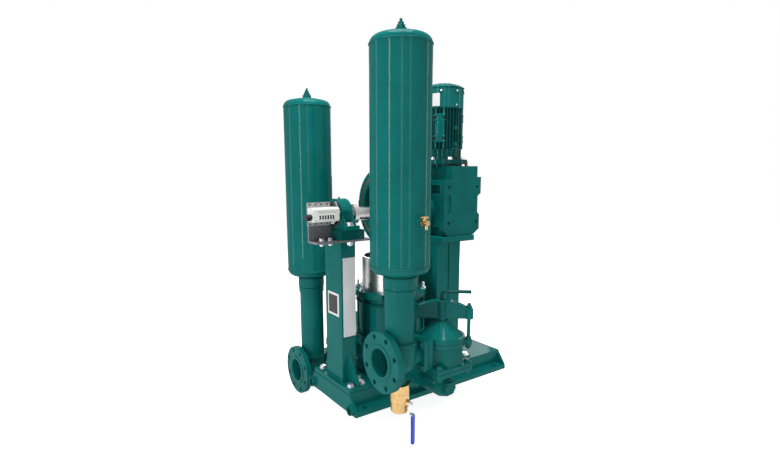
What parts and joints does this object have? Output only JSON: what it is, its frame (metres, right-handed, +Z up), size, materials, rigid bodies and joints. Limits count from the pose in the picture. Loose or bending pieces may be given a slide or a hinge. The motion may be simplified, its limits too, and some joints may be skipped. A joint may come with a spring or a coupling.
{
  "type": "plunger pump",
  "caption": "Simplex plunger pump on a fabricated base: motor and gear reducer turn an eccentric whose rod works a hollow plunger between ball valves, tees and air chambers.",
  "frame": {"origin": "centre of the base's anchor holes, on the base's underside", "axes": "+X along the crankshaft from the column to the drive, +Y from the discharge line to the suction line, +Z up"},
  "size_m": [1.005, 0.9868, 1.5883],
  "materials": {
    "teal_enamel": "gloss",
    "dark_enamel": "gloss",
    "bright_steel": "satin",
    "zinc_steel": "satin",
    "brass": "satin",
    "bronze": "matte",
    "packing_black": "matte",
    "black_plastic": "matte",
    "plate_white": "satin",
    "grip_blue": "gloss"
  },
  "bodies": {
    "frame": {"base_frame": "teal_enamel", "bearing_column": "teal_enamel", "anchor_bolts": "zinc_steel", "name_plates": "plate_white", "bearing_bracket": "zinc_steel", "bearing_riser": "dark_enamel", "pillow_block": "teal_enamel", "bearing_insert": "bright_steel", "bearing_bolts": "zinc_steel", "counter_body": "zinc_steel", "pump_cylinder": "teal_enamel", "packing": "packing_black", "packing_gland": "teal_enamel", "gland_studs": "zinc_steel", "discharge_duct": "teal_enamel", "suction_duct": "teal_enamel", "discharge_chamber": "teal_enamel", "suction_chamber": "teal_enamel", "discharge_cap": "teal_enamel", "suction_cap": "teal_enamel", "discharge_yoke": "teal_enamel", "suction_yoke": "teal_enamel", "eye_bolts": "teal_enamel", "valve_seats": "bronze", "gaskets": "packing_black", "discharge_tee": "teal_enamel", "suction_tee": "teal_enamel", "discharge_riser": "teal_enamel", "suction_riser": "teal_enamel", "discharge_air_chamber": "teal_enamel", "suction_air_chamber": "teal_enamel", "flange_bolts": "teal_enamel", "pipe_plugs": "teal_enamel", "petcock_body": "brass", "drain_valve_body": "brass", "drive_pedestal": "teal_enamel", "reducer_housing": "teal_enamel", "reducer_cover": "teal_enamel", "motor_frame": "teal_enamel", "motor_cowl": "teal_enamel"},
    "crank": {"eccentric": "teal_enamel", "crankshaft": "bright_steel"},
    "rod": {"connecting_rod": "teal_enamel", "strap_cap": "teal_enamel", "strap_bolts": "bright_steel", "eccentric_bush": "bronze", "wrist_pin": "bright_steel"},
    "ram": {"plunger": "bright_steel"},
    "counter_reset": {"counter_wheels": "black_plastic", "counter_knob": "black_plastic"},
    "counter_arm": {"counter_lever": "bright_steel"},
    "discharge_valve": {"discharge_ball": "bright_steel"},
    "suction_valve": {"suction_ball": "bright_steel"},
    "discharge_hand_screw": {"discharge_screw": "dark_enamel"},
    "suction_hand_screw": {"suction_screw": "dark_enamel"},
    "petcock_plug": {"petcock_handle": "brass"},
    "drain_plug": {"drain_ball": "bright_steel", "drain_lever": "zinc_steel", "drain_grip": "grip_blue"},
    "cooling_fan": {"motor_fan": "black_plastic"}
  },
  "joints": [
    {"name": "crank_turn", "type": "hinge", "parent": "frame", "child": "crank", "pos_m": [-0.126, 0, 0.795], "axis": [1, 0, 0], "continuous": true},
    {"name": "rod_swing", "type": "hinge", "parent": "crank", "child": "rod", "pos_m": [-0.126, 0.01805, 0.81896], "axis": [1, 0, 0], "continuous": true},
    {"name": "plunger_stroke", "type": "slide", "parent": "frame", "child": "ram", "axis": [0, 0, 1], "range_m": [-0.054, 0.006]},
    {"name": "counter_zeroing", "type": "hinge", "parent": "frame", "child": "counter_reset", "pos_m": [-0.489, -0.064, 0.796], "axis": [1, 0, 0], "continuous": true},
    {"name": "counter_stroke", "type": "hinge", "parent": "frame", "child": "counter_arm", "pos_m": [-0.431, -0.068, 0.811], "axis": [1, 0, 0], "range_deg": [-25, 25]},
    {"name": "discharge_ball_lift", "type": "slide", "parent": "frame", "child": "discharge_valve", "axis": [0, 0, 1], "range_m": [0, 0.03]},
    {"name": "suction_ball_lift", "type": "slide", "parent": "frame", "child": "suction_valve", "axis": [0, 0, 1], "range_m": [0, 0.03]},
    {"name": "discharge_screw_turn", "type": "hinge", "parent": "frame", "child": "discharge_hand_screw", "pos_m": [-0.126, -0.347, 0.46], "axis": [0, 0, 1], "continuous": true},
    {"name": "suction_screw_turn", "type": "hinge", "parent": "frame", "child": "suction_hand_screw", "pos_m": [-0.126, 0.372, 0.338], "axis": [0, 0, 1], "continuous": true},
    {"name": "petcock_turn", "type": "hinge", "parent": "frame", "child": "petcock_plug", "pos_m": [-0.334, -0.4825, 0.798], "axis": [0, 0, 1], "range_deg": [0, 90]},
    {"name": "drain_turn", "type": "hinge", "parent": "frame", "child": "drain_plug", "pos_m": [-0.334, -0.347, 0.108], "axis": [-0.4226, 0.9063, 0], "range_deg": [0, 90]},
    {"name": "fan_spin", "type": "hinge", "parent": "frame", "child": "cooling_fan", "pos_m": [0.174, 0, 1.3], "axis": [0, 0, 1], "continuous": true}
  ],
  "couplings": [
    {"joint": "rod_swing", "follows": "crank_turn", "ratio": -1},
    {"joint": "fan_spin", "follows": "crank_turn", "ratio": 30}
  ]
}
